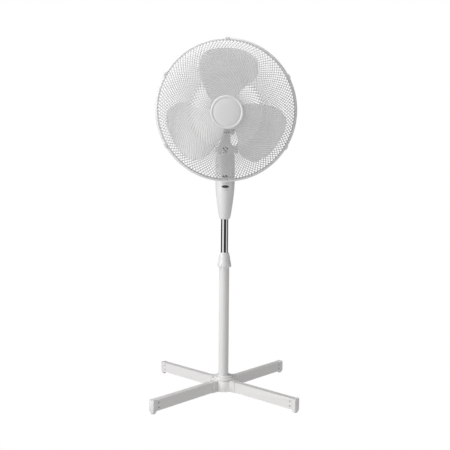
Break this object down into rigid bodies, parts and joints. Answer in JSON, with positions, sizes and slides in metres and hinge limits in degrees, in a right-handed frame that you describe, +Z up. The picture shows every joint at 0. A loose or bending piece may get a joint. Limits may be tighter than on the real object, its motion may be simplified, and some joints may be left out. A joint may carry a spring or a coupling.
{
  "type": "pedestal fan",
  "caption": "Pedestal fan: caged bladed head that swings and tilts on a slim control column, on a telescopic pole with a twist collar and a cross base.",
  "frame": {"origin": "on the floor, on the axis of the pole, under the middle of the cross base", "axes": "+Z up along the pole, the fan blows towards -Y, +X to the right as seen from the front"},
  "size_m": [0.4358, 0.4358, 1.0966],
  "materials": {
    "painted_white": "satin",
    "white_plastic": "satin",
    "chrome": "polished",
    "guard_wire": "gloss",
    "dark_plastic": "satin",
    "grey_plastic": "matte",
    "rubber": "matte",
    "steel": "machined",
    "cast_alloy": "cast",
    "core_steel": "laminated",
    "copper": "lacquered wire",
    "bronze": "sintered",
    "board_green": "solder resist",
    "nylon": "smooth"
  },
  "bodies": {
    "base": {"base_hub": "painted_white", "leg_front_left": "painted_white", "leg_front_right": "painted_white", "leg_rear_left": "painted_white", "leg_rear_right": "painted_white", "leg_cap_front_left": "white_plastic", "leg_cap_front_right": "white_plastic", "leg_cap_rear_left": "white_plastic", "leg_cap_rear_right": "white_plastic", "foot_pads": "rubber", "leg_screws": "steel", "base_cover": "white_plastic", "pole_plug": "steel", "base_bolt": "steel", "outer_pole": "painted_white", "pole_bush": "grey_plastic"},
    "collar": {"height_collar": "white_plastic"},
    "column": {"inner_pole": "chrome", "pole_foot": "dark_plastic", "pole_clamp": "grey_plastic", "box_front": "white_plastic", "box_rear": "white_plastic", "box_screws": "steel", "control_board": "board_green", "capacitor": "dark_plastic", "cord_inlet": "white_plastic", "tilt_bracket": "dark_plastic", "tilt_pin": "steel"},
    "upper_button": {"button_upper": "dark_plastic"},
    "lower_button": {"button_lower": "dark_plastic"},
    "clamp_knob": {"tilt_knob": "white_plastic"},
    "neck": {"tilt_neck": "white_plastic", "link_pin": "steel"},
    "head": {"swing_pivot": "steel", "motor_front_bracket": "cast_alloy", "motor_rear_bracket": "cast_alloy", "stator_core": "core_steel", "stator_windings": "copper", "motor_bushes": "bronze", "motor_bolts": "steel", "motor_front_cover": "white_plastic", "motor_rear_cover": "white_plastic", "cover_screw": "steel", "gearbox_housing": "cast_alloy", "rear_guard": "guard_wire", "rear_guard_nut": "white_plastic", "front_guard": "guard_wire", "guard_rim": "white_plastic", "guard_clips": "white_plastic", "badge": "white_plastic"},
    "fan": {"fan_blade": "white_plastic", "spinner": "white_plastic", "drive_pin": "steel", "motor_shaft": "steel", "rotor": "core_steel"},
    "wheel": {"worm_wheel": "nylon"},
    "crank": {"crank_shaft": "steel"},
    "selector": {"swing_knob": "white_plastic"},
    "link": {"link_arm": "steel"}
  },
  "joints": [
    {"name": "collar_twist", "type": "hinge", "parent": "base", "child": "collar", "pos_m": [0, 0, 0.425], "axis": [0, 0, 1], "range_deg": [0, 180]},
    {"name": "height_slide", "type": "slide", "parent": "base", "child": "column", "axis": [0, 0, 1], "range_m": [-0.105, 0.15]},
    {"name": "upper_button_press", "type": "slide", "parent": "column", "child": "upper_button", "axis": [0, 1, 0], "range_m": [0, 0.0015], "stiffness_N_per_m": 600},
    {"name": "lower_button_press", "type": "slide", "parent": "column", "child": "lower_button", "axis": [0, 1, 0], "range_m": [0, 0.0015], "stiffness_N_per_m": 600},
    {"name": "clamp_knob_turn", "type": "hinge", "parent": "column", "child": "clamp_knob", "pos_m": [0.03, 0, 0.781], "axis": [1, 0, 0], "range_deg": [-180, 0]},
    {"name": "tilt", "type": "hinge", "parent": "column", "child": "neck", "pos_m": [0, 0, 0.781], "axis": [1, 0, 0], "range_deg": [-25, 4]},
    {"name": "swing", "type": "hinge", "parent": "neck", "child": "head", "pos_m": [0, -0.00763, 0.82027], "axis": [0, -0.1908, 0.9816], "range_deg": [-40, 40]},
    {"name": "blade_spin", "type": "hinge", "parent": "head", "child": "fan", "pos_m": [0, -0.12339, 0.88384], "axis": [0, -0.9816, -0.1908], "continuous": true},
    {"name": "worm_wheel_spin", "type": "hinge", "parent": "head", "child": "wheel", "pos_m": [0.0195, 0.05281, 0.9181], "axis": [0, -0.1908, 0.9816], "continuous": true},
    {"name": "crank_turn", "type": "hinge", "parent": "head", "child": "crank", "pos_m": [0.0195, 0.06378, 0.86165], "axis": [0, -0.1908, 0.9816], "range_deg": [-90, 90]},
    {"name": "selector_push", "type": "slide", "parent": "crank", "child": "selector", "axis": [0, -0.1908, 0.9816], "range_m": [-0.006, 0]},
    {"name": "link_turn", "type": "hinge", "parent": "neck", "child": "link", "pos_m": [0.022, -0.01145, 0.8399], "axis": [0, -0.1908, 0.9816], "range_deg": [-41, 41]}
  ],
  "couplings": [
    {"joint": "worm_wheel_spin", "follows": "blade_spin", "ratio": 0.033333},
    {"joint": "crank_turn", "follows": "swing", "ratio": -2.24},
    {"joint": "link_turn", "follows": "swing", "ratio": 1}
  ]
}
